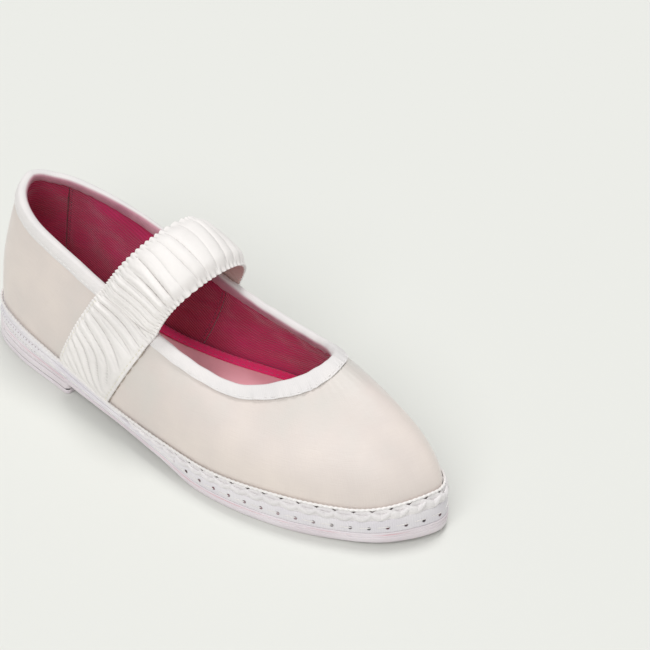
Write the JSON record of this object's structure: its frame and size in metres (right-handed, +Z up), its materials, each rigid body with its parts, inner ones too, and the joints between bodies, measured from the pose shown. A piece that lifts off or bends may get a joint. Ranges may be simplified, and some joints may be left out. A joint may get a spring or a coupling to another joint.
{
  "type": "ballet slipper",
  "caption": "Right-foot Mary-Jane ballet slipper: satin upper with bound edge, stitched low-heeled sole and a ruched elastic strap over the instep.",
  "frame": {"origin": "on the floor, under the middle of the shoe's bounding box", "axes": "+X towards the toe, +Y towards the medial (inner) side of this right shoe, +Z up"},
  "size_m": [0.2604, 0.0856, 0.0986],
  "materials": {
    "pearl_satin": "cream duchess satin with a soft pearly sheen",
    "white_tape": "white grosgrain tape, fine cross ribs",
    "white_ruching": "off-white gathered satin",
    "white_thread": "white plied thread and cord",
    "white_rubber": "matt white rubber with a faint lilac tint",
    "raspberry_twill": "dark raspberry cotton twill",
    "pink_sock": "pink suede-like sock cover",
    "raspberry_band": "bright raspberry woven binding",
    "foam": "closed-cell foam",
    "board": "pressed cellulose board",
    "stiffener": "impregnated stiffening sheet",
    "spring_steel": "blued spring steel strip",
    "elastic": "white woven elastic webbing"
  },
  "bodies": {
    "shoe": {"heel_top_piece": "white_rubber", "heel_block": "white_rubber", "outsole": "white_rubber", "midsole": "foam", "shank": "spring_steel", "insole_board": "board", "footbed_foam": "foam", "insole_sock": "pink_sock", "sock_binding": "raspberry_band", "rand_tape": "white_tape", "rand_stitch_thread": "white_thread", "welt_braid": "white_thread", "welt_piping": "white_thread", "vamp": "pearl_satin", "lateral_quarter": "pearl_satin", "medial_quarter": "pearl_satin", "toe_puff": "stiffener", "heel_counter": "stiffener", "lateral_interlining": "stiffener", "medial_interlining": "stiffener", "vamp_lining": "raspberry_twill", "lateral_lining": "raspberry_twill", "medial_lining": "raspberry_twill", "heel_lining": "raspberry_twill", "topline_binding": "white_tape", "strap_panel_lateral": "white_ruching", "strap_panel_medial": "white_ruching"},
    "strap": {"strap_sleeve": "white_ruching", "strap_elastic": "elastic"}
  },
  "joints": [
    {"name": "strap_stretch", "type": "slide", "parent": "shoe", "child": "strap", "axis": [0, 0, 1], "range_m": [0, 0.012], "stiffness_N_per_m": 800}
  ]
}
